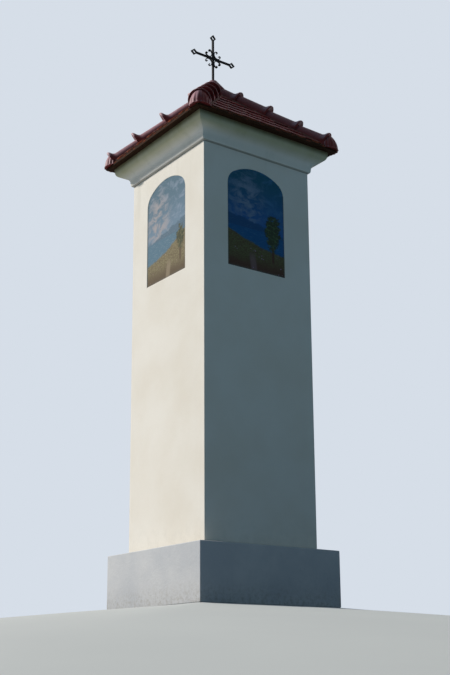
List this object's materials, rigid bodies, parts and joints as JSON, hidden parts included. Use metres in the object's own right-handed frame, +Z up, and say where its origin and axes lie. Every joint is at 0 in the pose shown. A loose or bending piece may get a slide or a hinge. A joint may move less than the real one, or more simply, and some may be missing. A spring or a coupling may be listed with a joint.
{
  "type": "wayside shrine",
  "caption": "Square plastered pillar shrine on a plinth, with arched painted panels under a coved cornice, a hipped clay tile roof and an iron cross.",
  "frame": {"origin": "middle of the plinth's foot at ground level", "axes": "+Z up; -Y is the front, the shaded side at the right of the picture; -X is the sunlit side at its left"},
  "size_m": [1.6656, 1.6656, 5.611],
  "materials": {
    "plinth_paint": "matt grey paint on smooth render",
    "plaster": "smooth cream lime plaster",
    "painting_front": "dusky landscape painted on a board",
    "painting_right": "clouded sky painted on a board",
    "painting_back": "dusky landscape painted on a board",
    "painting_left": "clouded sky painted on a board",
    "eaves_boards": "dark brown stained boards",
    "masonry": "rough brick and mortar, hidden under the tiles",
    "roof_tiles": "glossy red-brown clay tiles",
    "hip_clay": "glossy red-brown clay",
    "iron": "black painted wrought iron"
  },
  "bodies": {
    "root": {"plinth": "plinth_paint", "pillar": "plaster", "painting_front": "painting_front", "painting_right": "painting_right", "painting_back": "painting_back", "painting_left": "painting_left", "cornice_band": "plaster", "cornice_cove": "plaster", "eaves_boards": "eaves_boards", "roof_core": "masonry", "roof_face_front": "roof_tiles", "roof_face_right": "roof_tiles", "roof_face_back": "roof_tiles", "roof_face_left": "roof_tiles", "hip_shell_near": "hip_clay", "hip_shell_right": "hip_clay", "hip_shell_left": "hip_clay", "hip_shell_back": "hip_clay", "hip_tile_near_1": "hip_clay", "hip_tile_near_2": "hip_clay", "hip_tile_near_3": "hip_clay", "hip_tile_right_1": "hip_clay", "hip_tile_right_2": "hip_clay", "hip_tile_right_3": "hip_clay", "hip_tile_left_1": "hip_clay", "hip_tile_left_2": "hip_clay", "hip_tile_left_3": "hip_clay", "hip_tile_back_1": "hip_clay", "hip_tile_back_2": "hip_clay", "hip_tile_back_3": "hip_clay", "peak_cap": "hip_clay", "cross_shaft": "iron", "cross_bar": "iron", "cross_scrolls": "iron", "cross_end_top": "iron", "cross_end_left": "iron", "cross_end_right": "iron"}
  },
  "joints": []
}
